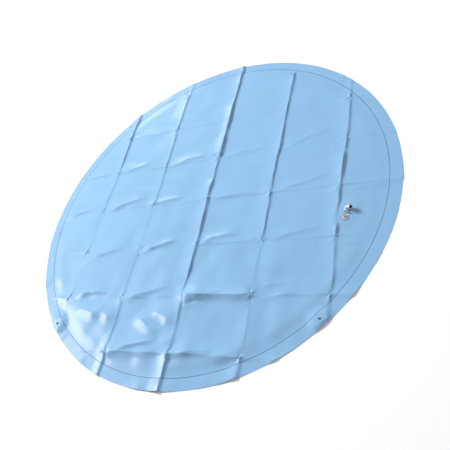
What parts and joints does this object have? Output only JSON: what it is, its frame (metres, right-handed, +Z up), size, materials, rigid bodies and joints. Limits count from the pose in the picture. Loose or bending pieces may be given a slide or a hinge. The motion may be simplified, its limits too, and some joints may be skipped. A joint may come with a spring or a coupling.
{
  "type": "inflatable spa cover bladder",
  "caption": "Round inflatable air bladder for a spa cover, let down and laid flat: two welded film discs, eyelet rings in the rim and a leaning air valve with a tethered cap.",
  "frame": {"origin": "on the ground under the middle of the disc", "axes": "+Z up, +X towards the eyelet named right, +Y towards the eyelet named back"},
  "size_m": [1.5998, 1.5998, 0.0302],
  "materials": {
    "film": "soft glossy light blue vinyl film",
    "eyelet_ring": "soft glossy light blue vinyl film",
    "valve": "clear soft moulded vinyl",
    "flap": "thin soft film",
    "cap": "clear soft moulded vinyl"
  },
  "bodies": {
    "bladder": {"bottom_sheet": "film", "top_sheet": "film", "eyelet_ring_front": "eyelet_ring", "eyelet_ring_right": "eyelet_ring", "eyelet_ring_back": "eyelet_ring", "eyelet_ring_left": "eyelet_ring", "valve_flange": "valve", "strap_root": "valve"},
    "neck": {"valve_neck": "valve"},
    "flap": {"check_flap": "flap"},
    "strap": {"strap_link": "valve"},
    "cap": {"valve_cap": "cap"}
  },
  "joints": [
    {"name": "neck_lean", "type": "hinge", "parent": "bladder", "child": "neck", "pos_m": [0.33835, -0.52906, 0.0144], "axis": [-0.8425, -0.5388, 0], "range_deg": [0, 68]},
    {"name": "strap_swing", "type": "hinge", "parent": "bladder", "child": "strap", "pos_m": [0.32576, -0.53711, 0.02036], "axis": [-0.5388, 0.8425, 0], "range_deg": [0, 155]},
    {"name": "cap_turn", "type": "hinge", "parent": "strap", "child": "cap", "pos_m": [0.32268, -0.53908, 0.0079], "axis": [-0.5388, 0.8425, 0], "range_deg": [0, 25]},
    {"name": "flap_swing", "type": "hinge", "parent": "bladder", "child": "flap", "pos_m": [0.3335, -0.52148, 0.0053], "axis": [0.8425, 0.5388, 0], "range_deg": [0, 15]}
  ]
}
